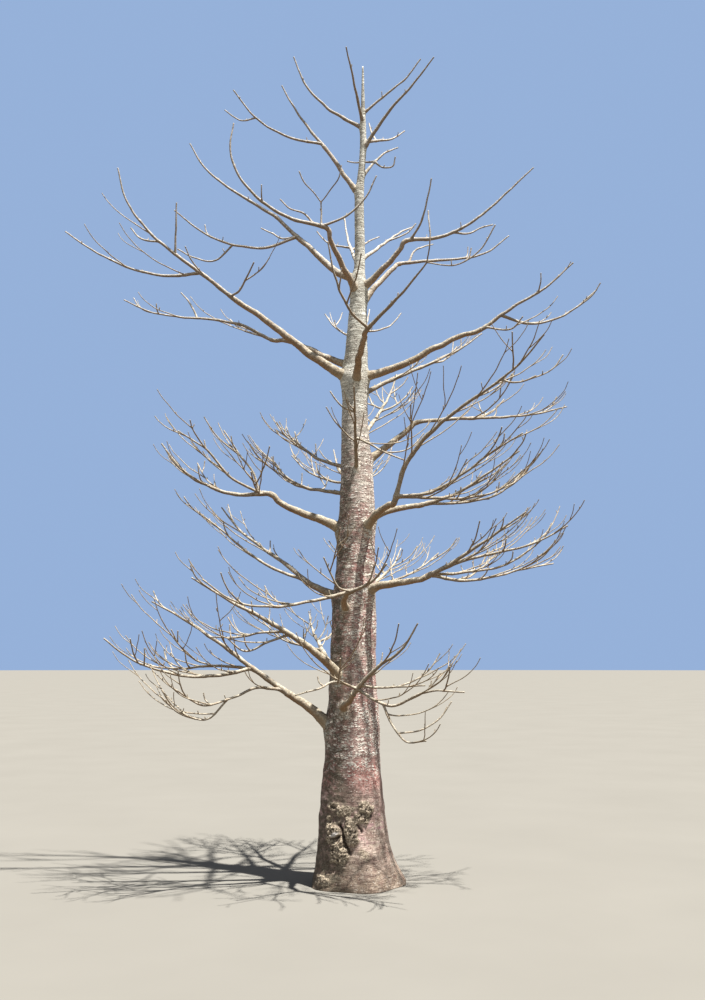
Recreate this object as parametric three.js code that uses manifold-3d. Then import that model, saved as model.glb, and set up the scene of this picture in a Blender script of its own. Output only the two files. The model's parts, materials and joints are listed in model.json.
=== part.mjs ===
// A young baobab in its bare season: trunk, main boughs and masses of leafless twigs.
// Millimetres, +Z up, origin on the trunk's flat cut at ground level.
// A heading turns anticlockwise from +X, seen from above: 0 is right, 90 back, 180 left, 270 front.
// A rise is a limb's slope above level ground, given at its root, its middle and its tip.
import * as THREE from "three";
import { mergeVertices } from "three/addons/utils/BufferGeometryUtils.js";
import Module from "manifold-3d";

const GAP = 0.3;
const DEGREE = Math.PI / 180;

// Trunk: [height, radius] from the ground to the tip, and [height, shift along X] for its lean
const GIRTH = [
  [0, 350], [60, 334], [140, 304], [280, 268], [430, 251], [620, 232], [900, 216], [1180, 207],
  [1340, 190], [1600, 176], [2120, 162], [2400, 146], [3000, 132], [3340, 112], [3850, 96],
  [4160, 82], [4560, 64], [4760, 44], [5420, 36], [5600, 28], [6000, 25], [6140, 16], [6530, 7],
];
const LEAN = [
  [0, 0], [500, -30], [1200, -30], [2400, -5], [3000, 8], [3500, -14], [4100, 0],
  [4900, 32], [5400, 20], [5700, 58], [6530, 56],
];
const TRUNK_HEIGHT = GIRTH.at(-1)[0];
const TRUNK_SIDES = 26;
const FLARE_LOBES = 5;
const FLARE_DEPTH = 0.055;
const FLARE_HEIGHT = 220;

// Limbs: their steps and sides, and the swollen collar where one leaves the trunk
const BOUGH_STEPS = 6;
const BOUGH_SIDES = 7;
const COLLAR_SWELL = 0.35;
const COLLAR_LENGTH = 45;
const SEAT_DEPTH = 1.8;
const START_INSIDE = 0.9;
const THICKEST_ON_TRUNK = 0.6;
const STEM_SIDES = 5;
const ARM_SIDES = 4;
const ARM_STEP = 260;
const ARM_FEWEST_STEPS = 3;
const ARM_ROOT_BASE = 6.5;
const ARM_ROOT_RATIO = 0.0065;
const ARM_TIP = 5.2;
const STEM_THINNING = 0.88;
const DIRECT_ROOT_BASE = 9;
const DIRECT_ROOT_RATIO = 0.008;
const FORK_CLEAR = 1.7;
const FORK_THINNING = 0.9;

// What the seeded rule adds along the limbs: long branchlets, then small upturned shoots.
// Lengths are in mm and angles in degrees; high is the share that grows up where the crown is bare.
const SEED = 4711;
const BRANCHLETS = {
  spacing: 520, first: 0.1, longest: 680, shortest: 260, root: 6.5, tip: 4.5,
  spread: [22, 62], lift: [-5, 25, 65], clear: 15, steps: 3, high: 0,
};
const SHOOTS = {
  spacing: 1000, first: 0.14, longest: 250, shortest: 90, root: 6, tip: 4.5,
  spread: [30, 75], lift: [15, 65, 85], clear: 14, steps: 2, high: 0.25,
};
const TWIG_SIDES = 3;
const SHORTER_TOWARDS_TIP = 0.6;
const TESTED_AT = [0.25, 0.4, 0.55, 0.7, 0.85, 1];
const BUSY_BELOW = 3300;
const BARE_ABOVE = 4900;

const bough = (name, height, heading, rises, length, root, tip, turn = 0) =>
  ({ name, height, heading, rises, length, root, tip, turn });
const stem = (heading, rises, length) => ({ from: null, at: 0, heading, rises, length });
const arm = (from, at, heading, rises, length) => ({ from, at, heading, rises, length });

const BOUGHS = [
  bough("high_left", 5440, 182, [50, 64, 51], 460, 21, 15),
  bough("upper_front_left", 4570, 237, [40, 30, 56], 560, 27, 18),
  bough("upper_left", 4680, 165, [20, 62, 38], 610, 32, 20),
  bough("upper_right", 4610, 335, [30, 47, 44], 490, 27, 18),
  bough("upper_right_back", 4510, 28, [50, 56, 36], 500, 25, 17),
  bough("middle_left", 3860, 191, [24, 48, 27], 1050, 38, 20),
  bough("middle_left_back", 3970, 156, [18, 48, 3], 760, 28, 16),
  bough("middle_right", 3860, 350, [6, 44, 10], 980, 33, 18),
  bough("middle_front", 3820, 275, [40, -18, 10], 800, 30, 18),
  bough("middle_back", 4060, 88, [35, 20, 40], 640, 30, 18),
  bough("right_back", 3200, 15, [35, 42, 38], 520, 29, 19),
  bough("right_front", 2640, 304, [36, 22, 19], 380, 34, 22, 10),
  bough("right", 2730, 5, [30, 8, 8], 420, 29, 19),
  bough("left", 2640, 190, [30, 0, 45], 620, 36, 21),
  bough("back", 2740, 95, [30, 25, 40], 700, 32, 18),
  bough("low_left_back", 2120, 160, [20, 22, 33], 280, 33, 22),
  bough("low_right", 2150, 316, [25, -11, 19], 490, 33, 21, 36),
  bough("low_front", 2020, 246, [10, 20, 35], 270, 27, 18, 55),
  bough("low_back", 1980, 78, [30, 10, 35], 620, 33, 20),
  bough("low_left", 1500, 232, [46, 28, 35], 475, 37, 22, -32),
  bough("lowest_left", 1160, 195, [42, 35, 30], 400, 42, 25),
  bough("lowest_front", 1280, 252, [15, -14, 54], 380, 30, 19, 60),
  bough("lowest_back", 1400, 110, [35, 15, 35], 640, 35, 21),
];

// A mass grows from its bough's tip or, where it has a height, straight from the trunk
const MASSES = [
  { name: "top_left", height: 5990, limbs: [stem(185, [22, 40, 80], 850)] },
  { name: "top_front", height: 6040, limbs: [stem(250, [55, 34, 57], 580)] },
  { name: "top_right", height: 6120, limbs: [stem(350, [43, 22, 64], 640)] },
  { name: "top_fork", height: 5820, limbs: [stem(330, [59, 22, 51], 870)] },
  { name: "top_back", height: 5870, limbs: [
    stem(45, [23, 20, 47], 570),
    arm(0, 0.25, 100, [45, 35, 60], 450),
  ] },
  { name: "high_right", height: 5580, limbs: [
    stem(35, [48, 62, 20], 500),
    arm(0, 0.37, 340, [-50, -45, 125], 260),
    arm(0, 0.38, 130, [20, 12, 34], 400),
  ] },
  { name: "high_left", limbs: [
    stem(175, [51, 56, 66], 660),
    arm(0, 0.02, 195, [-5, 23, 62], 870),
    arm(1, 0.67, 165, [-25, 44, 44], 310),
  ] },
  { name: "upper_front_left", limbs: [
    stem(200, [0, 24, 112], 1220),
    arm(0, 0.08, 175, [80, -30, 74], 350),
    arm(0, 0.02, 350, [10, 42, 74], 600),
    arm(0, 0.03, 250, [95, 84, 88], 200),
    arm(3, 0.98, 215, [62, -8, 84], 290),
    arm(3, 0.98, 320, [44, 8, 100], 330),
  ] },
  { name: "upper_left", limbs: [
    stem(175, [53, 7, 71], 1310),
    arm(0, 0.02, 190, [-38, 20, 43], 1100),
    arm(1, 0.5, 165, [-75, 45, 30], 560),
    arm(0, 0.02, 140, [-12, 60, 22], 470),
  ] },
  { name: "upper_right", limbs: [
    stem(355, [-8, 54, 42], 1200),
    arm(0, 0.02, 310, [22, 90, 68], 510),
    arm(0, 0.31, 20, [-22, 60, 8], 380),
  ] },
  { name: "upper_right_back", limbs: [
    stem(10, [15, -12, 54], 1020),
    arm(0, 0.07, 45, [80, 12, 28], 420),
  ] },
  { name: "upper_back", height: 4770, limbs: [
    stem(98, [40, 30, 60], 1250),
    arm(0, 0.45, 50, [25, 45, 25], 460),
    arm(0, 0.5, 135, [20, 20, 60], 520),
  ] },
  { name: "middle_left", limbs: [
    stem(195, [40, 13, 88], 1410),
    arm(0, 0.24, 176, [-13, 32, 37], 1200),
    arm(0, 0.03, 300, [-15, 40, 26], 460),
    arm(0, 0.41, 280, [80, 70, 85], 400),
    arm(0, 0.52, 150, [10, 20, 60], 360),
  ] },
  { name: "middle_left_back", limbs: [
    stem(178, [41, -28, 37], 1310),
    arm(0, 0.05, 140, [20, 20, 50], 480),
    arm(0, 0.5, 150, [70, 50, 45], 320),
  ] },
  { name: "middle_right", limbs: [
    stem(350, [42, 12, 52], 880),
    arm(0, 0.21, 10, [-30, 38, 45], 910),
    arm(0, 0.04, 330, [-14, -40, 76], 350),
  ] },
  { name: "middle_right_back", height: 3740, limbs: [
    stem(23, [33, 16, 42], 1250),
    arm(0, 0.55, 55, [10, 30, 50], 480),
  ] },
  { name: "middle_front", limbs: [
    stem(315, [32, 20, 43], 690),
    arm(0, 0.02, 235, [-2, 58, 75], 740),
    arm(0, 0.98, 280, [10, 130, 96], 390),
    arm(0, 0.98, 345, [-33, 36, 70], 590),
  ] },
  { name: "middle_back", limbs: [
    stem(82, [30, 15, 55], 950),
    arm(0, 0.05, 122, [10, 35, 50], 700),
    arm(0, 0.3, 40, [10, 20, 60], 560),
  ] },
  { name: "front", height: 3100, limbs: [
    stem(268, [62, 30, 42], 740),
    arm(0, 0.35, 335, [-20, -45, -15], 450),
    arm(0, 0.68, 195, [0, 55, 55], 250),
  ] },
  { name: "right_back", limbs: [
    stem(10, [10, -5, 20], 1280),
    arm(0, 0.3, 40, [10, 20, 50], 560),
  ] },
  { name: "back_right", height: 3340, limbs: [
    stem(70, [40, 25, 55], 1300),
    arm(0, 0.5, 40, [20, 30, 60], 480),
    arm(0, 0.54, 110, [20, 20, 60], 420),
  ] },
  { name: "right_front", limbs: [
    stem(322, [84, -15, 50], 1700),
    arm(0, 0.02, 350, [0, -21, 53], 990),
    arm(0, 0.02, 338, [-13, 59, 20], 1070),
    arm(0, 0.74, 350, [-20, 0, 30], 260),
  ] },
  { name: "right", limbs: [
    stem(345, [5, 45, 30], 860),
    arm(0, 0.04, 355, [0, -5, 60], 820),
    arm(0, 0.05, 10, [-6, 20, 0], 500),
  ] },
  { name: "left", limbs: [
    stem(185, [-12, 26, 60], 970),
    arm(0, 0.06, 205, [-1, 88, 7], 810),
    arm(0, 0.07, 165, [84, 32, 64], 610),
    arm(0, 0.05, 262, [-20, 20, 45], 420),
  ] },
  { name: "back", limbs: [
    stem(100, [30, 10, 50], 980),
    arm(0, 0.05, 60, [10, 20, 50], 720),
    arm(0, 0.05, 140, [10, 20, 50], 760),
  ] },
  { name: "low_left_back", limbs: [
    stem(150, [42, 16, 56], 1080),
    arm(0, 0.02, 175, [10, 52, 35], 1040),
  ] },
  { name: "low_right", limbs: [
    stem(335, [23, 34, 32], 890),
    arm(0, 0.03, 350, [31, -11, 38], 1080),
    arm(0, 0.03, 2, [7, -6, 48], 850),
    arm(0, 0.02, 18, [-19, 31, 6], 1050),
  ] },
  { name: "low_front", limbs: [
    stem(320, [16, 12, 58], 420),
    arm(0, 0.05, 195, [-12, -25, 50], 1150),
    arm(0, 0.05, 225, [-25, 95, 45], 390),
  ] },
  { name: "low_back", limbs: [
    stem(72, [25, 5, 45], 1020),
    arm(0, 0.05, 38, [10, 20, 40], 820),
    arm(0, 0.3, 112, [10, 20, 50], 640),
  ] },
  { name: "low_left", limbs: [
    stem(200, [32, 21, 33], 905),
    arm(0, 0.12, 170, [9, -30, 13], 570),
    arm(0, 0.08, 192, [2, -85, 86], 520),
  ] },
  { name: "lowest_left", limbs: [
    stem(192, [34, 41, 25], 1210),
    arm(0, 0.26, 205, [-16, 4, 44], 1180),
    arm(0, 0.25, 182, [18, -29, 20], 850),
    arm(0, 0.02, 218, [25, -76, 57], 930),
    arm(3, 0.52, 200, [-80, 38, 46], 590),
  ] },
  { name: "lowest_front", limbs: [
    stem(320, [62, -12, 75], 760),
    arm(0, 0.06, 215, [48, -58, 4], 540),
    arm(0, 0.11, 345, [-16, 19, -3], 470),
    arm(0, 0.06, 330, [-68, 92, -34], 870),
    arm(3, 0.26, 325, [-60, -78, 36], 480),
  ] },
  { name: "lowest_back", limbs: [
    stem(100, [20, 5, 45], 980),
    arm(0, 0.05, 138, [10, 5, 45], 780),
    arm(0, 0.3, 68, [10, 15, 45], 640),
  ] },
  { name: "slim_back_right", height: 4860, limbs: [
    stem(55, [33, 46, 25], 980),
    arm(0, 0.5, 20, [20, 30, 60], 320),
  ] },
  { name: "slim_left_high", height: 3140, limbs: [
    stem(145, [6, 54, 25], 820),
    arm(0, 0.5, 110, [20, 20, 60], 460),
  ] },
  { name: "slim_left_low", height: 2930, limbs: [
    stem(135, [16, -5, 66], 1050),
    arm(0, 0.4, 160, [20, 30, 60], 420),
  ] },
];

const wasm = await Module();
wasm.setup();

// A value read off a short list of [height, value] steps
function between(steps, height) {
  if (height <= steps[0][0]) return steps[0][1];
  for (let i = 1; i < steps.length; i += 1) {
    const [low, before] = steps[i - 1];
    const [high, after] = steps[i];
    if (height <= high) return before + ((after - before) * (height - low)) / (high - low);
  }
  return steps.at(-1)[1];
}

// The same row of random numbers from 0 to 1 on every run
function seededNumbers(seed) {
  let state = seed;
  return () => {
    state = (state * 16807) % 2147483647;
    return state / 2147483647;
  };
}

function toSolid(geometry) {
  const bare = geometry.clone();
  bare.deleteAttribute("normal");
  bare.deleteAttribute("uv");
  const merged = mergeVertices(bare, 1e-4);
  return new wasm.Manifold(new wasm.Mesh({
    numProp: 3,
    vertProperties: new Float32Array(merged.attributes.position.array),
    triVerts: new Uint32Array(merged.index.array),
  }));
}

function toGeometry(solid) {
  const mesh = solid.getMesh();
  const geometry = new THREE.BufferGeometry();
  geometry.setAttribute("position", new THREE.BufferAttribute(new Float32Array(mesh.vertProperties), 3));
  geometry.setIndex(new THREE.BufferAttribute(new Uint32Array(mesh.triVerts), 1));
  geometry.computeVertexNormals();
  return geometry;
}

// The path of a limb
const headingAt = (limb, t) => limb.heading + limb.turn * t;

function riseAt(limb, t) {
  const [root, middle, tip] = limb.rises;
  return (1 - t) ** 2 * root + 2 * t * (1 - t) * middle + t ** 2 * tip;
}

function pointing(heading, rise) {
  const across = Math.cos(rise * DEGREE);
  return new THREE.Vector3(
    across * Math.cos(heading * DEGREE),
    across * Math.sin(heading * DEGREE),
    Math.sin(rise * DEGREE),
  );
}

const directionAt = (limb, t) => pointing(headingAt(limb, t), riseAt(limb, t));

// A limb that continues another has its first ring square to that limb's end
function makeLimb({ start, ...shape }) {
  const limb = { turn: 0, collar: 0, continues: null, ...shape, path: [start.clone()] };
  for (let i = 0; i < limb.steps; i += 1) {
    const step = directionAt(limb, (i + 0.5) / limb.steps).multiplyScalar(limb.length / limb.steps);
    limb.path.push(limb.path[i].clone().add(step));
  }
  return limb;
}

function placeAt(limb, t) {
  if (t < 0) return limb.path[0].clone().addScaledVector(directionAt(limb, 0), t * limb.length);
  const along = t * limb.steps;
  const i = Math.min(Math.floor(along), limb.steps - 1);
  return limb.path[i].clone().lerp(limb.path[i + 1], along - i);
}

function radiusAt(limb, t) {
  const inside = Math.max(t, 0);
  const swell = limb.collar * Math.exp((-inside * limb.length) / COLLAR_LENGTH);
  return limb.root + (limb.tip - limb.root) * inside + limb.root * swell;
}

// A round bar bent along the limb's path, with a ring of vertices at each of the given places
function makeTube(limb, sides, places = evenPlaces(limb.steps)) {
  const geometry = new THREE.CylinderGeometry(1, 1, 1, sides, places.length - 1);
  const position = geometry.attributes.position;
  for (let i = 0; i < position.count; i += 1) {
    const ring = Math.round((position.getY(i) + 0.5) * (places.length - 1));
    const t = places[ring];
    const square = ring === 0 && limb.continues;
    const heading = square ? headingAt(limb.continues, 1) : headingAt(limb, Math.max(t, 0));
    const rise = square ? riseAt(limb.continues, 1) : riseAt(limb, Math.max(t, 0));
    const side = pointing(heading - 90, 0);
    const up = side.clone().cross(pointing(heading, rise));
    const place = placeAt(limb, t)
      .addScaledVector(side, position.getX(i) * radiusAt(limb, t))
      .addScaledVector(up, position.getZ(i) * radiusAt(limb, t));
    position.setXYZ(i, place.x, place.y, place.z);
  }
  return geometry;
}

function evenPlaces(count) {
  return Array.from({ length: count + 1 }, (_, i) => i / count);
}

// The trunk, or the same trunk grown all round by a margin
function makeTrunk(margin) {
  const rings = GIRTH.length - 1;
  const geometry = new THREE.CylinderGeometry(1, 1, 1, TRUNK_SIDES, rings);
  const position = geometry.attributes.position;
  for (let i = 0; i < position.count; i += 1) {
    const [height, girth] = GIRTH[Math.round((position.getY(i) + 0.5) * rings)];
    const across = position.getX(i);
    const depth = -position.getZ(i);
    const around = Math.atan2(depth, across);
    const flare = 1 + FLARE_DEPTH * Math.cos(FLARE_LOBES * around) * Math.exp(-height / FLARE_HEIGHT);
    const radius = (girth + margin) * flare;
    position.setXYZ(i, between(LEAN, height) + across * radius, depth * radius, height);
  }
  return geometry;
}

function placeOnTrunk(height, heading) {
  const reach = between(GIRTH, height) * START_INSIDE;
  return new THREE.Vector3(
    between(LEAN, height) + reach * Math.cos(heading * DEGREE),
    reach * Math.sin(heading * DEGREE),
    height,
  );
}

// The skeleton: every bough, stem and arm, before the twigs
const skeleton = { boughs: new Map(), masses: new Map() };

for (const row of BOUGHS) {
  const start = placeOnTrunk(row.height, row.heading);
  skeleton.boughs.set(row.name, makeLimb({ ...row, start, steps: BOUGH_STEPS, collar: COLLAR_SWELL }));
}

function growMass(row) {
  const limbs = [];
  for (const { from, at, heading, rises, length } of row.limbs) {
    const steps = Math.max(ARM_FEWEST_STEPS, Math.round(length / ARM_STEP));
    const shape = { heading, rises, length, steps, tip: ARM_TIP };
    shape.root = ARM_ROOT_BASE + ARM_ROOT_RATIO * length;
    if (from !== null) {
      const parent = limbs[from];
      const t = Math.max(at, (FORK_CLEAR * parent.root) / parent.length);
      shape.start = placeAt(parent, t);
      shape.root = Math.min(shape.root, radiusAt(parent, t) * FORK_THINNING);
    } else if (row.height) {
      const thickest = THICKEST_ON_TRUNK * between(GIRTH, row.height);
      shape.start = placeOnTrunk(row.height, heading);
      shape.root = Math.min(DIRECT_ROOT_BASE + DIRECT_ROOT_RATIO * length, thickest);
      shape.collar = COLLAR_SWELL;
    } else {
      const carrier = skeleton.boughs.get(row.name);
      shape.start = placeAt(carrier, 1).addScaledVector(directionAt(carrier, 1), GAP);
      shape.root = carrier.tip * STEM_THINNING;
      shape.continues = carrier;
    }
    limbs.push(makeLimb(shape));
  }
  return limbs;
}

for (const row of MASSES) {
  skeleton.masses.set(row.name, growMass(row));
}

// The twigs: alternate sides, upturned, left out where one would touch another limb
const random = seededNumbers(SEED);
const standing = [...skeleton.boughs.values(), ...[...skeleton.masses.values()].flat()];

function distanceToLimb(point, limb) {
  const piece = new THREE.Line3();
  const closest = new THREE.Vector3();
  let nearest = Infinity;
  for (let i = 0; i < limb.steps; i += 1) {
    piece.set(limb.path[i], limb.path[i + 1]).closestPointToPoint(point, true, closest);
    nearest = Math.min(nearest, closest.distanceTo(point) - radiusAt(limb, i / limb.steps));
  }
  return nearest;
}

function clearOfTrunk(point, clear) {
  if (point.z > TRUNK_HEIGHT) return true;
  const across = point.x - between(LEAN, point.z);
  return Math.hypot(across, point.y) > between(GIRTH, point.z) + 2 * clear;
}

function isClear(twig, parent, clear) {
  return TESTED_AT.every((t) => {
    const point = placeAt(twig, t);
    const apart = (limb) => limb === parent || distanceToLimb(point, limb) > clear;
    return clearOfTrunk(point, clear) && standing.every(apart);
  });
}

function growAlong(parent, rule) {
  const kept = [];
  const count = Math.round(parent.length / rule.spacing);
  let side = random() < 0.5 ? -1 : 1;
  for (let i = 0; i < count; i += 1) {
    const t = rule.first + ((1 - rule.first) * (i + 0.2 + 0.6 * random())) / count;
    const spread = rule.spread[0] + (rule.spread[1] - rule.spread[0]) * random();
    const longest = rule.longest * (1 - SHORTER_TOWARDS_TIP * t);
    const size = rule.shortest + (longest - rule.shortest) * random();
    side = -side;
    const start = placeAt(parent, t);
    const rises = rule.lift.map((lift) => Math.max(lift, riseAt(parent, t) * 0.5 + 10));
    const root = Math.min(rule.root, radiusAt(parent, t) * FORK_THINNING);
    const heading = headingAt(parent, t) + side * spread;
    const tip = Math.min(rule.tip, root);
    const twig = makeLimb({ start, heading, rises, length: size, steps: rule.steps, root, tip });
    const grows = random() < between([[BUSY_BELOW, 1], [BARE_ABOVE, rule.high]], start.z);
    if (grows && isClear(twig, parent, rule.clear)) {
      kept.push(twig);
      standing.push(twig);
    }
  }
  return kept;
}

// The solids
const grownTrunk = toSolid(makeTrunk(GAP * 1.01));

// How far back into the trunk a limb's tube starts, as a share of its length
function seatOf(limb) {
  const inside = START_INSIDE * between(GIRTH, limb.path[0].z);
  return -Math.min(SEAT_DEPTH * limb.root, inside) / limb.length;
}

function boughGeometry(limb) {
  const collarEnd = COLLAR_LENGTH / limb.length;
  const places = [seatOf(limb), 0, collarEnd, ...evenPlaces(limb.steps).slice(1)];
  return toGeometry(toSolid(makeTube(limb, BOUGH_SIDES, places)).subtract(grownTrunk));
}

function massGeometry(row, limbs) {
  const [stemLimb, ...arms] = limbs;
  const places = evenPlaces(stemLimb.steps);
  if (row.height) places.unshift(seatOf(stemLimb));
  const tubes = [makeTube(stemLimb, STEM_SIDES, places)];
  for (const limb of arms) {
    tubes.push(makeTube(limb, ARM_SIDES));
  }
  const branchlets = limbs.flatMap((limb) => growAlong(limb, BRANCHLETS));
  const shoots = [...limbs, ...branchlets].flatMap((limb) => growAlong(limb, SHOOTS));
  for (const twig of [...branchlets, ...shoots]) {
    tubes.push(makeTube(twig, TWIG_SIDES));
  }
  const joined = tubes.map(toSolid).reduce((whole, part) => whole.add(part));
  return toGeometry(row.height ? joined.subtract(grownTrunk) : joined);
}

function barkFinish(name, color, roughness) {
  return new THREE.MeshStandardMaterial({ name, color, roughness, metalness: 0 });
}

const bark = barkFinish("bark", 0x9b8b84, 0.9);
const twigBark = barkFinish("twigs", 0xb3a590, 0.85);
const tree = new THREE.Group();

function addNode(name, geometry, material) {
  const mesh = new THREE.Mesh(geometry, material);
  mesh.name = name;
  tree.add(mesh);
}

addNode("trunk", toGeometry(toSolid(makeTrunk(0))), bark);
for (const [name, limb] of skeleton.boughs) {
  addNode(`bough_${name}`, boughGeometry(limb), bark);
}
for (const row of MASSES) {
  addNode(`twigs_${row.name}`, massGeometry(row, skeleton.masses.get(row.name)), twigBark);
}

export default tree;
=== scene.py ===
# A young baobab in its bare season: bark relief on the trunk and boughs, and bare twigs to the last spur.
# Metres, +Z up, origin on the trunk's flat cut at ground level.
# A heading turns anticlockwise from +X, seen from above: 0 is right, 90 back, 180 left, 270 front.
# A rise is a limb's slope above level ground. Its first value holds at the root and its last at the tip,
# and the middle one pulls the slope its way between them.
import json
import math
from collections import namedtuple

import bpy
import numpy as np
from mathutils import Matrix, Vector, noise

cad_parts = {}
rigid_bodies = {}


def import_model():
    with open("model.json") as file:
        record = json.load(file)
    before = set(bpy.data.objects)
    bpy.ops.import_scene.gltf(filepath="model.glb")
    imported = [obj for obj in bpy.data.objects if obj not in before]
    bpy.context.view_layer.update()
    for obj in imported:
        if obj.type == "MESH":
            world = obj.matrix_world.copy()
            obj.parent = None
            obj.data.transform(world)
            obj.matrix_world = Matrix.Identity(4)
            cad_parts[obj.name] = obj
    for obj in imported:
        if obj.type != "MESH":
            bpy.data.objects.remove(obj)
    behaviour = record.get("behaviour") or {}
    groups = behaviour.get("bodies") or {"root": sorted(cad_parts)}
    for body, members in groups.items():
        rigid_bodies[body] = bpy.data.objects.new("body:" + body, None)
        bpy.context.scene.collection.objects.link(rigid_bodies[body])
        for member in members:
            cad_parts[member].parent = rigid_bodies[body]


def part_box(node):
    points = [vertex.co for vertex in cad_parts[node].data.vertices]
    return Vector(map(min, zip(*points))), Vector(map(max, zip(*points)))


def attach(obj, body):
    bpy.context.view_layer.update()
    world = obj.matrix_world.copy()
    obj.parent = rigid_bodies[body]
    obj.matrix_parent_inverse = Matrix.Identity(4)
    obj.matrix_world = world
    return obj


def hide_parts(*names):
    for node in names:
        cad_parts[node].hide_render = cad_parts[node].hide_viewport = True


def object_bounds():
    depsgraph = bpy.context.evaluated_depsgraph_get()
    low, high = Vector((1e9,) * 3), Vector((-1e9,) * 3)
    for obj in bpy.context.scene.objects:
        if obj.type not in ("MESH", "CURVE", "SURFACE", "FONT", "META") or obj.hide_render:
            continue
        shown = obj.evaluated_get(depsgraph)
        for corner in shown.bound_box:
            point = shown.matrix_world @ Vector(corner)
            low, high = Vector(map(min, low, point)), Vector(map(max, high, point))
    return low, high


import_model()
cad_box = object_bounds()
scene = bpy.context.scene

# Trunk: (height, radius) from the ground to the tip, and (height, shift along X) for its lean
GIRTH = [
    (0, 0.350), (0.06, 0.334), (0.14, 0.304), (0.28, 0.268), (0.43, 0.251), (0.62, 0.232),
    (0.90, 0.216), (1.18, 0.207), (1.34, 0.190), (1.60, 0.176), (2.12, 0.162), (2.40, 0.146),
    (3.00, 0.132), (3.34, 0.112), (3.85, 0.096), (4.16, 0.082), (4.56, 0.064), (4.76, 0.044),
    (5.42, 0.036), (5.60, 0.028), (6.00, 0.025), (6.14, 0.016), (6.53, 0.007),
]
LEAN = [
    (0, 0), (0.50, -0.030), (1.20, -0.030), (2.40, -0.005), (3.00, 0.008), (3.50, -0.014),
    (4.10, 0), (4.90, 0.032), (5.40, 0.020), (5.70, 0.058), (6.53, 0.056),
]
TRUNK_HEIGHT = GIRTH[-1][0]
FLARE_LOBES = 5
FLARE_DEPTH = 0.055
FLARE_HEIGHT = 0.22

# Limbs
BOUGH_STEPS = 6
COLLAR_SWELL = 0.35
COLLAR_LENGTH = 0.045
START_INSIDE = 0.9
THICKEST_ON_TRUNK = 0.6
ARM_STEP = 0.26
ARM_FEWEST_STEPS = 3
ARM_ROOT_BASE = 0.0065
ARM_ROOT_RATIO = 0.0065
ARM_TIP = 0.0052
STEM_THINNING = 0.88
DIRECT_ROOT_BASE = 0.009
DIRECT_ROOT_RATIO = 0.008
FORK_CLEAR = 1.7
FORK_THINNING = 0.9
GAP = 0.0003

bough = namedtuple("bough", "name height heading rises length root tip turn", defaults=[0])
mass = namedtuple("mass", "name height limbs")
arm = namedtuple("arm", "parent at heading rises length")


def stem(heading, rises, length):
    return arm(None, 0, heading, rises, length)


BOUGHS = [
    bough("high_left", 5.44, 182, (50, 64, 51), 0.46, 0.021, 0.015),
    bough("upper_front_left", 4.57, 237, (40, 30, 56), 0.56, 0.027, 0.018),
    bough("upper_left", 4.68, 165, (20, 62, 38), 0.61, 0.032, 0.02),
    bough("upper_right", 4.61, 335, (30, 47, 44), 0.49, 0.027, 0.018),
    bough("upper_right_back", 4.51, 28, (50, 56, 36), 0.5, 0.025, 0.017),
    bough("middle_left", 3.86, 191, (24, 48, 27), 1.05, 0.038, 0.02),
    bough("middle_left_back", 3.97, 156, (18, 48, 3), 0.76, 0.028, 0.016),
    bough("middle_right", 3.86, 350, (6, 44, 10), 0.98, 0.033, 0.018),
    bough("middle_front", 3.82, 275, (40, -18, 10), 0.8, 0.03, 0.018),
    bough("middle_back", 4.06, 88, (35, 20, 40), 0.64, 0.03, 0.018),
    bough("right_back", 3.2, 15, (35, 42, 38), 0.52, 0.029, 0.019),
    bough("right_front", 2.64, 304, (36, 22, 19), 0.38, 0.034, 0.022, turn=10),
    bough("right", 2.73, 5, (30, 8, 8), 0.42, 0.029, 0.019),
    bough("left", 2.64, 190, (30, 0, 45), 0.62, 0.036, 0.021),
    bough("back", 2.74, 95, (30, 25, 40), 0.7, 0.032, 0.018),
    bough("low_left_back", 2.12, 160, (20, 22, 33), 0.28, 0.033, 0.022),
    bough("low_right", 2.15, 316, (25, -11, 19), 0.49, 0.033, 0.021, turn=36),
    bough("low_front", 2.02, 246, (10, 20, 35), 0.27, 0.027, 0.018, turn=55),
    bough("low_back", 1.98, 78, (30, 10, 35), 0.62, 0.033, 0.02),
    bough("low_left", 1.5, 232, (46, 28, 35), 0.475, 0.037, 0.022, turn=-32),
    bough("lowest_left", 1.16, 195, (42, 35, 30), 0.4, 0.042, 0.025),
    bough("lowest_front", 1.28, 252, (15, -14, 54), 0.38, 0.03, 0.019, turn=60),
    bough("lowest_back", 1.4, 110, (35, 15, 35), 0.64, 0.035, 0.021),
]

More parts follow.
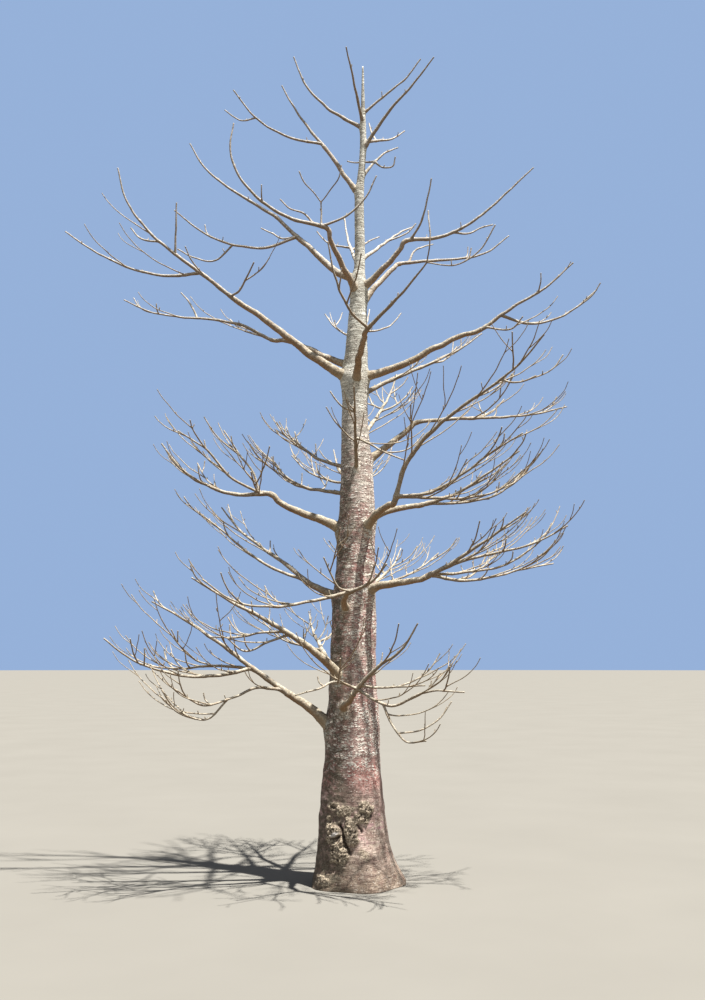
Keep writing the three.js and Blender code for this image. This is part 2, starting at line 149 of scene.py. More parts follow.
# A mass grows from its bough's tip or, where it has a height, straight from the trunk
MASSES = [
    mass("top_left", 5.99, [stem(185, (22, 40, 80), 0.85)]),
    mass("top_front", 6.04, [stem(250, (55, 34, 57), 0.58)]),
    mass("top_right", 6.12, [stem(350, (43, 22, 64), 0.64)]),
    mass("top_fork", 5.82, [stem(330, (59, 22, 51), 0.87)]),
    mass("top_back", 5.87, [stem(45, (23, 20, 47), 0.57), arm(0, 0.25, 100, (45, 35, 60), 0.45)]),
    mass("high_right", 5.58, [
        stem(35, (48, 62, 20), 0.5),
        arm(0, 0.37, 340, (-50, -45, 125), 0.26),
        arm(0, 0.38, 130, (20, 12, 34), 0.4),
    ]),
    mass("high_left", None, [
        stem(175, (51, 56, 66), 0.66),
        arm(0, 0.02, 195, (-5, 23, 62), 0.87),
        arm(1, 0.67, 165, (-25, 44, 44), 0.31),
    ]),
    mass("upper_front_left", None, [
        stem(200, (0, 24, 112), 1.22),
        arm(0, 0.08, 175, (80, -30, 74), 0.35),
        arm(0, 0.02, 350, (10, 42, 74), 0.6),
        arm(0, 0.03, 250, (95, 84, 88), 0.2),
        arm(3, 0.98, 215, (62, -8, 84), 0.29),
        arm(3, 0.98, 320, (44, 8, 100), 0.33),
    ]),
    mass("upper_left", None, [
        stem(175, (53, 7, 71), 1.31),
        arm(0, 0.02, 190, (-38, 20, 43), 1.1),
        arm(1, 0.5, 165, (-75, 45, 30), 0.56),
        arm(0, 0.02, 140, (-12, 60, 22), 0.47),
    ]),
    mass("upper_right", None, [
        stem(355, (-8, 54, 42), 1.2),
        arm(0, 0.02, 310, (22, 90, 68), 0.51),
        arm(0, 0.31, 20, (-22, 60, 8), 0.38),
    ]),
    mass("upper_right_back", None, [stem(10, (15, -12, 54), 1.02), arm(0, 0.07, 45, (80, 12, 28), 0.42)]),
    mass("upper_back", 4.77, [
        stem(98, (40, 30, 60), 1.25),
        arm(0, 0.45, 50, (25, 45, 25), 0.46),
        arm(0, 0.5, 135, (20, 20, 60), 0.52),
    ]),
    mass("middle_left", None, [
        stem(195, (40, 13, 88), 1.41),
        arm(0, 0.24, 176, (-13, 32, 37), 1.2),
        arm(0, 0.03, 300, (-15, 40, 26), 0.46),
        arm(0, 0.41, 280, (80, 70, 85), 0.4),
        arm(0, 0.52, 150, (10, 20, 60), 0.36),
    ]),
    mass("middle_left_back", None, [
        stem(178, (41, -28, 37), 1.31),
        arm(0, 0.05, 140, (20, 20, 50), 0.48),
        arm(0, 0.5, 150, (70, 50, 45), 0.32),
    ]),
    mass("middle_right", None, [
        stem(350, (42, 12, 52), 0.88),
        arm(0, 0.21, 10, (-30, 38, 45), 0.91),
        arm(0, 0.04, 330, (-14, -40, 76), 0.35),
    ]),
    mass("middle_right_back", 3.74, [stem(23, (33, 16, 42), 1.25), arm(0, 0.55, 55, (10, 30, 50), 0.48)]),
    mass("middle_front", None, [
        stem(315, (32, 20, 43), 0.69),
        arm(0, 0.02, 235, (-2, 58, 75), 0.74),
        arm(0, 0.98, 280, (10, 130, 96), 0.39),
        arm(0, 0.98, 345, (-33, 36, 70), 0.59),
    ]),
    mass("middle_back", None, [
        stem(82, (30, 15, 55), 0.95),
        arm(0, 0.05, 122, (10, 35, 50), 0.7),
        arm(0, 0.3, 40, (10, 20, 60), 0.56),
    ]),
    mass("front", 3.1, [
        stem(268, (62, 30, 42), 0.74),
        arm(0, 0.35, 335, (-20, -45, -15), 0.45),
        arm(0, 0.68, 195, (0, 55, 55), 0.25),
    ]),
    mass("right_back", None, [stem(10, (10, -5, 20), 1.28), arm(0, 0.3, 40, (10, 20, 50), 0.56)]),
    mass("back_right", 3.34, [
        stem(70, (40, 25, 55), 1.3),
        arm(0, 0.5, 40, (20, 30, 60), 0.48),
        arm(0, 0.54, 110, (20, 20, 60), 0.42),
    ]),
    mass("right_front", None, [
        stem(322, (84, -15, 50), 1.7),
        arm(0, 0.02, 350, (0, -21, 53), 0.99),
        arm(0, 0.02, 338, (-13, 59, 20), 1.07),
        arm(0, 0.74, 350, (-20, 0, 30), 0.26),
    ]),
    mass("right", None, [
        stem(345, (5, 45, 30), 0.86),
        arm(0, 0.04, 355, (0, -5, 60), 0.82),
        arm(0, 0.05, 10, (-6, 20, 0), 0.5),
    ]),
    mass("left", None, [
        stem(185, (-12, 26, 60), 0.97),
        arm(0, 0.06, 205, (-1, 88, 7), 0.81),
        arm(0, 0.07, 165, (84, 32, 64), 0.61),
        arm(0, 0.05, 262, (-20, 20, 45), 0.42),
    ]),
    mass("back", None, [
        stem(100, (30, 10, 50), 0.98),
        arm(0, 0.05, 60, (10, 20, 50), 0.72),
        arm(0, 0.05, 140, (10, 20, 50), 0.76),
    ]),
    mass("low_left_back", None, [stem(150, (42, 16, 56), 1.08), arm(0, 0.02, 175, (10, 52, 35), 1.04)]),
    mass("low_right", None, [
        stem(335, (23, 34, 32), 0.89),
        arm(0, 0.03, 350, (31, -11, 38), 1.08),
        arm(0, 0.03, 2, (7, -6, 48), 0.85),
        arm(0, 0.02, 18, (-19, 31, 6), 1.05),
    ]),
    mass("low_front", None, [
        stem(320, (16, 12, 58), 0.42),
        arm(0, 0.05, 195, (-12, -25, 50), 1.15),
        arm(0, 0.05, 225, (-25, 95, 45), 0.39),
    ]),
    mass("low_back", None, [
        stem(72, (25, 5, 45), 1.02),
        arm(0, 0.05, 38, (10, 20, 40), 0.82),
        arm(0, 0.3, 112, (10, 20, 50), 0.64),
    ]),
    mass("low_left", None, [
        stem(200, (32, 21, 33), 0.905),
        arm(0, 0.12, 170, (9, -30, 13), 0.57),
        arm(0, 0.08, 192, (2, -85, 86), 0.52),
    ]),
    mass("lowest_left", None, [
        stem(192, (34, 41, 25), 1.21),
        arm(0, 0.26, 205, (-16, 4, 44), 1.18),
        arm(0, 0.25, 182, (18, -29, 20), 0.85),
        arm(0, 0.02, 218, (25, -76, 57), 0.93),
        arm(3, 0.52, 200, (-80, 38, 46), 0.59),
    ]),
    mass("lowest_front", None, [
        stem(320, (62, -12, 75), 0.76),
        arm(0, 0.06, 215, (48, -58, 4), 0.54),
        arm(0, 0.11, 345, (-16, 19, -3), 0.47),
        arm(0, 0.06, 330, (-68, 92, -34), 0.87),
        arm(3, 0.26, 325, (-60, -78, 36), 0.48),
    ]),
    mass("lowest_back", None, [
        stem(100, (20, 5, 45), 0.98),
        arm(0, 0.05, 138, (10, 5, 45), 0.78),
        arm(0, 0.3, 68, (10, 15, 45), 0.64),
    ]),
    mass("slim_back_right", 4.86, [stem(55, (33, 46, 25), 0.98), arm(0, 0.5, 20, (20, 30, 60), 0.32)]),
    mass("slim_left_high", 3.14, [stem(145, (6, 54, 25), 0.82), arm(0, 0.5, 110, (20, 20, 60), 0.46)]),
    mass("slim_left_low", 2.93, [stem(135, (16, -5, 66), 1.05), arm(0, 0.4, 160, (20, 30, 60), 0.42)]),
]

# What the seeded rule adds along a limb, level by level: lengths in metres, spreads and lifts in degrees.
# first is how much of the limb stays bare at its root, high what share grows in the bare upper crown.
rule = namedtuple("rule", "spacing first longest shortest root tip spread lift clear steps high")
SEED = 4711
BRANCHLETS = rule(0.52, 0.1, 0.68, 0.26, 0.0065, 0.0045, (22, 62), (-5, 25, 65), 0.015, 3, 0)
SHOOTS = rule(1.0, 0.14, 0.25, 0.09, 0.006, 0.0045, (30, 75), (15, 65, 85), 0.014, 2, 0.25)
TWIGS = rule(0.22, 0.06, 1.0, 0.28, 0.0054, 0.003, (14, 46), (-12, 12, 58), 0.01, 7, 0.1)
TWIGLETS = rule(0.44, 0.16, 0.52, 0.16, 0.004, 0.0026, (16, 48), (-4, 20, 64), 0.006, 5, 0.1)
SPURS = rule(0.34, 0.05, 0.062, 0.01, 0.0038, 0.003, (20, 100), (30, 62, 85), 0.003, 2, 0.8)
SHORTER_TOWARDS_TIP = 0.6
# Where in its own stretch of the limb a twig starts: the least share and the random one
STRETCH_LEAST = 0.2
STRETCH_RANDOM = 0.6
# The least it rises: this share of its parent's rise, and so many degrees more
PARENT_RISE_KEPT = 0.5
EXTRA_RISE = 10
TESTED_AT = (0.25, 0.4, 0.55, 0.7, 0.85, 1)
BUSY_BELOW = 3.3
BARE_ABOVE = 4.9
REACH_PAST_BOX = 0.1
BOX_MARGIN = 0.004


# The shape of trunk and limbs
def between(steps, height):
    return np.interp(height, *zip(*steps))


def seeded_numbers(seed):
    """The same row of random numbers from 0 to 1 on every run"""
    state = seed
    while True:
        state = (state * 16807) % 2147483647
        yield state / 2147483647


def pointing(heading, rise):
    heading, rise = math.radians(heading), math.radians(rise)
    across = math.cos(rise)
    return np.array((across * math.cos(heading), across * math.sin(heading), math.sin(rise)))


class Limb:
    """A tapering limb whose path is a row of straight steps, later drawn as a smooth curve"""

    def __init__(self, start, heading, rises, length, root, tip, steps, turn=0, collar=0, parent=None, at=0):
        self.heading, self.rises, self.length, self.turn = heading, rises, length, turn
        self.root, self.tip, self.steps, self.collar = root, tip, steps, collar
        self.parent, self.at = parent, at
        self.continued_by = None
        self.box = parent.box if parent else None
        path = [np.array(start, float)]
        for i in range(steps):
            path.append(path[-1] + self.direction((i + 0.5) / steps) * (length / steps))
        self.path = np.array(path)

    @property
    def continues(self):
        """Whether it carries on from a bough's tip"""
        return self.parent is not None and self.parent.continued_by is self

    def rise(self, t):
        root, middle, tip = self.rises
        return (1 - t) ** 2 * root + 2 * t * (1 - t) * middle + t ** 2 * tip

    def direction(self, t):
        return pointing(self.heading + self.turn * t, self.rise(t))

    def place(self, t):
        i = min(int(t * self.steps), self.steps - 1)
        return self.path[i] + (self.path[i + 1] - self.path[i]) * (t * self.steps - i)

    def radius(self, t):
        inside = np.maximum(t, 0)
        swell = self.collar * np.exp(-inside * self.length / COLLAR_LENGTH)
        return self.root + (self.tip - self.root) * inside + self.root * swell


def place_on_trunk(height, heading):
    reach = between(GIRTH, height) * START_INSIDE
    return np.array((between(LEAN, height), 0, height)) + reach * pointing(heading, 0)


def grow_bough(row):
    start = place_on_trunk(row.height, row.heading)
    shape = (row.heading, row.rises, row.length, row.root, row.tip)
    return Limb(start, *shape, BOUGH_STEPS, turn=row.turn, collar=COLLAR_SWELL)


def grow_mass(row, boughs):
    limbs = []
    for carrier, at, heading, rises, length in row.limbs:
        steps = max(ARM_FEWEST_STEPS, int(length / ARM_STEP + 0.5))
        root = ARM_ROOT_BASE + ARM_ROOT_RATIO * length
        if carrier is not None:
            parent = limbs[carrier]
            t = max(at, FORK_CLEAR * parent.root / parent.length)
            root = min(root, parent.radius(t) * FORK_THINNING)
            limb = Limb(parent.place(t), heading, rises, length, root, ARM_TIP, steps, parent=parent, at=t)
        elif row.height:
            thickest = THICKEST_ON_TRUNK * between(GIRTH, row.height)
            root = min(DIRECT_ROOT_BASE + DIRECT_ROOT_RATIO * length, thickest)
            start = place_on_trunk(row.height, heading)
            limb = Limb(start, heading, rises, length, root, ARM_TIP, steps, collar=COLLAR_SWELL)
        else:
            parent = boughs[row.name]
            start = parent.place(1) + parent.direction(1) * GAP
            root = parent.tip * STEM_THINNING
            limb = Limb(start, heading, rises, length, root, ARM_TIP, steps, parent=parent, at=1)
            parent.continued_by = limb
        limb.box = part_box("twigs_" + row.name)
        limbs.append(limb)
    return limbs


class Standing:
    """Every limb grown so far, as straight pieces, for the test that keeps the twigs apart"""

    MOST_PIECES = 60000
    NEARBY = 0.8

    def __init__(self):
        self.starts, self.steps = np.zeros((2, self.MOST_PIECES, 3))
        self.radii = np.zeros(self.MOST_PIECES)
        self.owners = np.zeros(self.MOST_PIECES, int)
        self.pieces = 0

    def add(self, limb):
        new = slice(self.pieces, self.pieces + limb.steps)
        self.starts[new] = limb.path[:-1]
        self.steps[new] = np.diff(limb.path, axis=0)
        self.radii[new] = limb.radius(np.arange(limb.steps) / limb.steps)
        self.owners[new] = id(limb)
        self.pieces += limb.steps

    def apart(self, points, parent, clear):
        """Whether all the points are further than clear from every limb but the parent"""
        live = slice(0, self.pieces)
        near = np.abs(self.starts[live] - points[0]).max(1) < self.NEARBY
        near = np.flatnonzero(near & (self.owners[live] != id(parent)))
        steps = self.steps[near]
        away = points[:, None, :] - self.starts[near][None]
        along = np.clip((away * steps).sum(2) / (steps * steps).sum(1), 0, 1)
        distance = np.linalg.norm(away - along[..., None] * steps, axis=2) - self.radii[near]
        return bool((distance > clear).all())


def clear_of_trunk(points, clear):
    across = np.hypot(points[:, 0] - between(LEAN, points[:, 2]), points[:, 1])
    return bool(((points[:, 2] > TRUNK_HEIGHT) | (across > between(GIRTH, points[:, 2]) + 2 * clear)).all())


def within_reach(limb):
    """Whether a limb stays in the solids' box and close to its own mass's box"""
    low, high = limb.path.min(0) - limb.root, limb.path.max(0) + limb.root
    for box, margin in ((cad_box, -BOX_MARGIN), (limb.box, REACH_PAST_BOX)):
        if (low <= np.array(box[0]) - margin).any() or (high >= np.array(box[1]) + margin).any():
            return False
    return True


def grow_along(parent, rule, random, standing, finer=True):
    """Twigs on alternate sides of a limb, left out where one would touch another limb or leave its space"""
    kept = []
    count = int(parent.length / rule.spacing + 0.5)
    side = -1 if next(random) < 0.5 else 1
    for i in range(count):
        step = i + STRETCH_LEAST + STRETCH_RANDOM * next(random)
        t = rule.first + (1 - rule.first) * step / count
        spread = rule.spread[0] + (rule.spread[1] - rule.spread[0]) * next(random)
        longest = rule.longest * (1 - SHORTER_TOWARDS_TIP * t)
        size = rule.shortest + (longest - rule.shortest) * next(random)
        side = -side
        start = parent.place(t)
        least = parent.rise(t) * PARENT_RISE_KEPT + EXTRA_RISE
        rises = [max(lift, least) for lift in rule.lift]
        root = min(rule.root, parent.radius(t) * FORK_THINNING)
        heading = parent.heading + parent.turn * t + side * spread
        tip = min(rule.tip, root)
        twig = Limb(start, heading, rises, size, root, tip, rule.steps, parent=parent, at=t)
        grows = next(random) < between([(BUSY_BELOW, 1), (BARE_ABOVE, rule.high)], start[2])
        points = np.array([twig.place(test) for test in TESTED_AT])
        grows = grows and clear_of_trunk(points, rule.clear) and standing.apart(points, parent, rule.clear)
        if grows and (within_reach(twig) or not finer):
            kept.append(twig)
            standing.add(twig)
    return kept


def grow_tree():
    """All limbs by kind: the solids' own boughs, arms, branchlets and shoots, then finer twigs on them"""
    boughs = {row.name: grow_bough(row) for row in BOUGHS}
    masses = [grow_mass(row, boughs) for row in MASSES]
    arms = [limb for limbs in masses for limb in limbs]
    standing = Standing()
    for limb in [*boughs.values(), *arms]:
        standing.add(limb)
    random = seeded_numbers(SEED)

    def grown(limbs, rule, finer=True):
        return [twig for limb in limbs for twig in grow_along(limb, rule, random, standing, finer)]

    branchlets, shoots = [], []
    for limbs in masses:
        new = grown(limbs, BRANCHLETS, finer=False)
        branchlets += new
        shoots += grown(limbs + new, SHOOTS, finer=False)
    twigs = grown(arms + branchlets, TWIGS)
    carriers = branchlets + shoots + twigs
    twiglets = grown(carriers, TWIGLETS)
    spurs = grown(arms + carriers, SPURS)
    return boughs, arms, branchlets, shoots, twigs, twiglets, spurs


# Smooth curves through the limbs' paths
CURVE_SAMPLES = 10
WOBBLE_BASE = 0.005
WOBBLE = 0.25
WOBBLE_MOST = 0.04
WOBBLE_SIZE = 0.11
WOBBLE_FADE = 0.7
CURVE_SEEDS = 89
SEED_SHIFT = 13.7
VISUAL_THINNING = 0.97


def noise_field(points, size, seed):
    """Smooth noise from -1 to 1 at each point, with lumps of the given size, which may differ by axis"""
    shifted = (points / size + seed * SEED_SHIFT).reshape(-1, 3)
    values = [noise.noise(Vector(point)) for point in shifted.tolist()]
    return np.reshape(values, points.shape[:-1])


def unit(rows):
    return rows / np.linalg.norm(rows, axis=1)[:, None]


def curve_through(path, before, after):
    """A dense row of points on a smooth curve through a path; before and after set its slope at the ends"""
    points = np.vstack([before, path, after])
    t = np.linspace(0, 1, CURVE_SAMPLES, endpoint=False)[:, None]
    pieces = []
    for p0, p1, p2, p3 in zip(points, points[1:], points[2:], points[3:]):
        bend = (2 * p0 - 5 * p1 + 4 * p2 - p3) * t ** 2 + (3 * p1 - p0 - 3 * p2 + p3) * t ** 3
        pieces.append(p1 + 0.5 * ((p2 - p0) * t + bend))
    return np.vstack([*pieces, path[-1]])


def draw_curve(limb, seed):
    """Works out the limb's smooth, slightly kinked curve, which starts on its parent's own curve"""
    path = limb.path.copy()
    before, after = 2 * path[0] - path[1], 2 * path[-1] - path[-2]
    if limb.continues:
        before = limb.parent.path[-2]
    elif limb.parent is not None:
        shift = on_curve(limb.parent, limb.at) - path[0]
        path += shift * (1 - np.arange(len(path)) / (len(path) - 1))[:, None]
        before = before + shift
    if limb.continued_by:
        after = limb.continued_by.path[1]
    curve = curve_through(path, before, after)
    t = np.linspace(0, 1, len(curve))
    amount = np.minimum(WOBBLE_BASE + WOBBLE * limb.radius(t), WOBBLE_MOST * limb.length)
    amount = amount * np.sin(math.pi * t) ** WOBBLE_FADE
    wobble = [noise_field(curve, WOBBLE_SIZE, seed + axis) for axis in range(3)]
    limb.curve = curve + np.stack(wobble, axis=1) * amount[:, None]
    limb.lengths = np.concatenate([[0], np.cumsum(np.linalg.norm(np.diff(limb.curve, axis=0), axis=1))])
    limb.children = []
    if limb.parent is not None and not limb.continues:
        limb.parent.children.append(limb)


def points_at(limb, distances):
    """Points at distances along the limb's curve; one below zero runs back along its first direction"""
    inside = np.clip(distances, 0, limb.lengths[-1])
    points = np.stack([np.interp(inside, limb.lengths, limb.curve[:, axis]) for axis in range(3)], axis=1)
    first = limb.curve[1] - limb.curve[0]
    first = first / np.linalg.norm(first)
    return points + np.minimum(distances, 0)[:, None] * first


def on_curve(limb, t):
    return points_at(limb, np.array([t * limb.lengths[-1]]))[0]


# Tubes with the bark's relief along them
FILLET = 0.55
FILLET_REACH = 1.3
FILLET_WIDEST = 0.93
ROOT_FILLET = 0.12
ROOT_FILLET_REACH = 2.0
KNUCKLE_SWELL = 0.1
KNUCKLE_LENGTH = 0.05
NODE_SWELL = 0.13
NODE_REACH = 1.6
BUD_SWELL = 0.22
BUD_LENGTH = 0.007
LUMP_SIZE = 0.035
RING_SIZE = 0.013
RING_WARP = 0.8
RING_BREAK = 0.6
TIP_ANGLES = (25, 50, 72)
FEWEST_RINGS = 4
BARK_SEEDS = 97
# How far inside the trunk or the bough's tip a tube begins, in radii of its own root
BACK_IN_TRUNK = 1.8
BACK_IN_BOUGH = 0.6
# How each kind of limb is drawn: sides, spacing of the rings, lumps, ridges
BOUGH_TUBE = (28, 0.006, 0.07, 0.05)
ARM_TUBE = (12, 0.011, 0.07, 0.06)
BRANCHLET_TUBE = (10, 0.009, 0.07, 0.07)
TWIG_TUBE = (8, 0.009, 0.07, 0.07)
TWIGLET_TUBE = (6, 0.008, 0.06, 0.06)
SPUR_TUBE = (6, 0.006, 0.08, 0.06)


def tube_radii(limb, distances):
    """The limb's radius with its fillet, knuckles, node swellings and end bud"""
    whole = limb.lengths[-1]
    t = np.clip(distances / whole, 0, 1)
    radii = limb.radius(t) * VISUAL_THINNING
    if limb.parent is None:
        away = np.maximum(distances, 0) / limb.root
        radii = radii + ROOT_FILLET * limb.root * np.exp(-away / ROOT_FILLET_REACH)
    elif not limb.continues:
        wide = limb.parent.radius(limb.at)
        fillet = FILLET * radii * np.exp(-np.maximum(distances - wide, 0) / (FILLET_REACH * radii))
        radii = np.minimum(radii + fillet, np.maximum(radii, FILLET_WIDEST * wide))
    if limb.continues:
        radii = radii * (1 + KNUCKLE_SWELL * np.exp(-((distances / KNUCKLE_LENGTH) ** 2)))
    if limb.continued_by:
        radii = radii * (1 + KNUCKLE_SWELL * np.exp(-(((whole - distances) / KNUCKLE_LENGTH) ** 2)))
    swell = np.zeros(len(distances))
    for child in limb.children:
        near = (distances - child.at * whole) / (NODE_REACH * limb.radius(child.at))
        swell += NODE_SWELL * np.exp(-near * near)
    radii = radii * (1 + np.minimum(swell, 2 * NODE_SWELL))
    if not limb.continued_by:
        radii = radii * (1 + BUD_SWELL * np.exp(-(whole - distances) / BUD_LENGTH))
    return radii


def tube_rings(limb, seed, sides, spacing, lumps, ridges):
    """Rings of points round the limb, from inside what carries it to its rounded tip"""
    whole = limb.lengths[-1]
    end = limb.tip * VISUAL_THINNING
    back = 0
    if limb.parent is None:
        back = BACK_IN_TRUNK * limb.root
    elif limb.continues:
        back = BACK_IN_BOUGH * limb.root
    last = whole - (0 if limb.continued_by else end)
    distances = np.linspace(-back, last, max(FEWEST_RINGS, int((last + back) / spacing) + 1))
    shrink = np.ones(len(distances))
    if not limb.continued_by:
        angles = np.radians(TIP_ANGLES)
        distances = np.concatenate([distances, last + end * np.sin(angles)])
        shrink = np.concatenate([shrink, np.cos(angles)])
    centres = points_at(limb, distances)
    tangents = unit(np.gradient(centres, axis=0))
    t = np.clip(distances / whole, 0, 1)
    headings = np.radians(limb.heading + limb.turn * t - 90)
    level = np.stack([np.cos(headings), np.sin(headings), np.zeros(len(t))], axis=1)
    sideways = unit(level - (level * tangents).sum(1)[:, None] * tangents)
    upward = np.cross(tangents, sideways)
    around = np.linspace(0, 2 * math.pi, sides, endpoint=False)[None, :, None]
    outward = np.cos(around) * sideways[:, None] + np.sin(around) * upward[:, None]
    radii = tube_radii(limb, distances) * shrink
    smooth = centres[:, None] + outward * radii[:, None, None]
    lump = noise_field(smooth, LUMP_SIZE, seed)
    warp = distances[:, None] / RING_SIZE + RING_WARP * lump
    band = np.stack([warp, np.full_like(warp, seed), lump * RING_BREAK], axis=-1)
    ring = noise_field(band, 1.0, seed)
    relief = 1 + (lumps * lump + ridges * ring)
    return centres[:, None] + outward * (radii[:, None] * relief)[..., None]


def new_object(name, data):
    thing = bpy.data.objects.new(name, data)
    scene.collection.objects.link(thing)
    return thing


def make_piece(name, tubes, material, slot, replaced, **marks):
    """One mesh of closed tubes, each a stack of rings; a mark gives the material a value at every point"""
    points, faces, count = [], [], 0
    for rings in tubes:
        total, sides, _ = rings.shape
        index = count + np.arange(total * sides).reshape(total, sides)
        beside = np.roll(index, -1, axis=1)
        quads = np.stack([index[:-1], beside[:-1], beside[1:], index[1:]], axis=-1).reshape(-1, 4)
        faces += [*quads.tolist(), index[0][::-1].tolist(), index[-1].tolist()]
        points.append(rings.reshape(-1, 3))
        count += total * sides
    mesh = bpy.data.meshes.new(name)
    mesh.from_pydata(np.vstack(points).tolist(), [], faces)
    mesh.update()
    mesh.polygons.foreach_set("use_smooth", np.ones(len(mesh.polygons), bool))
    mesh.materials.append(material)
    for mark, values in marks.items():
        attribute = mesh.attributes.new(mark, "FLOAT", "POINT")
        attribute.data.foreach_set("value", values.reshape(-1).astype(np.float32))
    piece = new_object(name, mesh)
    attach(piece, "root")
    if replaced:
        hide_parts(*replaced)


def joined_tubes(name, limbs, tube, material, replaced=()):
    tubes = [tube_rings(limb, seed % BARK_SEEDS, *tube) for seed, limb in enumerate(limbs)]
    make_piece(name, tubes, material, "twigs", replaced)


# The trunk's surface. Its columns are closest together round the burls: first and last heading, how many
FINE_COLUMNS = (205, 318, 76)
WIDE_COLUMNS = 77
RING_STEPS = [(0, 0.0065), (1.0, 0.01), (4.6, 0.016), (TRUNK_HEIGHT, 0.016)]
GIRTH_BLUR = 0.05
LEAN_BLUR = 0.18
# Lumps have their full height where the trunk has this radius, and between these shares of it elsewhere
LUMPY_RADIUS = 0.15
LUMPY_SHARES = (0.15, 1.3)
BROAD_LUMP, BROAD_SIZE = 0.012, (0.3, 0.3, 0.45)
MEDIUM_LUMP, MEDIUM_SIZE = 0.0045, (0.09, 0.09, 0.07)
FINE_LUMP, FINE_SIZE = 0.0013, (0.022, 0.022, 0.016)
SCAR_RING_SPACING = 0.033
SCAR_RING_DEPTH = [(0, 0.0002), (1.4, 0.0004), (3.2, 0.0011), (5.5, 0.0011), (6.5, 0.0004)]
SCAR_RING_DRIFT, DRIFT_SIZE = 0.55, (0.16, 0.16, 0.3)
# They come in patches: share of the trunk, contrast and size
SCAR_RING_SHARE, SCAR_RING_CONTRAST, SCAR_RING_PATCH = 0.55, 0.9, (0.1, 0.1, 0.07)
SMOOTH_FOOT = 0.03
# Warty burls at the foot: height, heading, half width, half height, how far each stands out
BURLS = [
    (0.572, 297, 0.06, 0.062, 0.034),
    (0.5, 283, 0.066, 0.05, 0.02),
    (0.41, 266, 0.05, 0.125, 0.032),
    (0.4, 233, 0.066, 0.085, 0.026),
    (0.262, 246, 0.072, 0.092, 0.03),
    (0.33, 252, 0.05, 0.06, 0.018),
    (0.575, 232, 0.034, 0.03, 0.012),
    (0.55, 258, 0.085, 0.06, 0.01),
    (0.245, 283, 0.055, 0.05, 0.006),
    (0.07, 222, 0.075, 0.045, 0.012),
    (0.5, 95, 0.06, 0.07, 0.026),
    (0.33, 118, 0.05, 0.09, 0.022),
    (0.75, 62, 0.04, 0.04, 0.012),
    (0.18, 25, 0.055, 0.05, 0.014),
]
# Crevices in and between them, darkened with painted shade, from one (height, heading) to another: half
# width, depth
CREVICES = [
    ((0.45, 248), (0.37, 254), 0.01, 0.022),
    ((0.37, 254), (0.265, 262), 0.01, 0.026),
    ((0.355, 236), (0.372, 247), 0.008, 0.018),
    ((0.52, 304), (0.498, 296), 0.01, 0.018),
    ((0.455, 277), (0.405, 284), 0.009, 0.016),
    ((0.578, 230), (0.57, 235), 0.011, 0.024),
    ((0.3, 238), (0.27, 236), 0.008, 0.014),
    ((0.52, 92), (0.45, 98), 0.01, 0.022),
    ((0.36, 116), (0.28, 121), 0.01, 0.02),
]
# The pale knob: height, heading, half width, and how far it stands out, slants and is flattened
PALE_KNOB = (0.385, 240, 0.028, 0.01, 0.5, 1.8)
# What makes a burl's edge ragged: share, size, seed; and where it starts and is full
RAGGED = ((0.5, 0.05, 5), (0.3, 0.022, 12))
BURL_EDGE = (-1.25, -0.35)
FULL_BURL = 0.018
# Warts: size, height, seed
WARTS = ((0.024, 0.011, 7), (0.013, 0.006, 9))
WART_SINK = 0.4
PIT_SIZE = 0.012
PIT_EDGE = (0.15, 0.35)
PIT_DEPTH = 0.009
# The trunk's radius where the crevices are, and how far they wander across and up
FOOT_RADIUS = 0.27
CREVICE_WANDER = (0.022, 0.01)
# The heading of the shaded side, and the cosines off it where its grey-green growth and painted shade start
# and are full
SHADED_HEADING = 200
SHADED_EDGE = (0.25, 0.85)
# The swelling under each limb's root, in radii of that root: how far out, across, up and down
COLLAR_BULGE = (0.75, 1.7, 1.5, 2.8)
# How far from its root a bough keeps the collar's colour, in radii of that root
COLLAR_FADE = 2.6


def trunk_heights():
    heights = []
    for (low, step), (high, _) in zip(RING_STEPS, RING_STEPS[1:]):
        heights.extend(np.linspace(low, high, int((high - low) / step) + 1)[:-1])
    return np.array([*heights, TRUNK_HEIGHT])


def blurred(steps, heights, blur):
    """A value read off a list of steps, with its corners rounded over a height"""
    return np.mean([between(steps, heights + blur * share) for share in np.linspace(-1, 1, 9)], axis=0)


def arc_to(around, heading, radius):
    """How far round the trunk each place is from a heading"""
    turn = (around - math.radians(heading) + math.pi) % (2 * math.pi) - math.pi
    return turn * radius


def collar_bulges(around, heights, radius, limbs):
    """The trunk swells round each limb's root, most under it: how far out, and from 0 to 1 how much"""
    bulge, share = np.zeros(radius.shape), np.zeros(radius.shape)
    out, wide, above, below = COLLAR_BULGE
    for limb in limbs:
        across = arc_to(around, limb.heading, radius) / (wide * limb.root)
        up = (heights - limb.path[0][2]) / limb.root
        swell = np.exp(-across ** 2 - (up / np.where(up > 0, above, below)) ** 2)
        bulge += out * limb.root * swell
        share = np.maximum(share, swell)
    return bulge, share


def smooth_step(value, low, high):
    t = np.clip((value - low) / (high - low), 0, 1)
    return t * t * (3 - 2 * t)


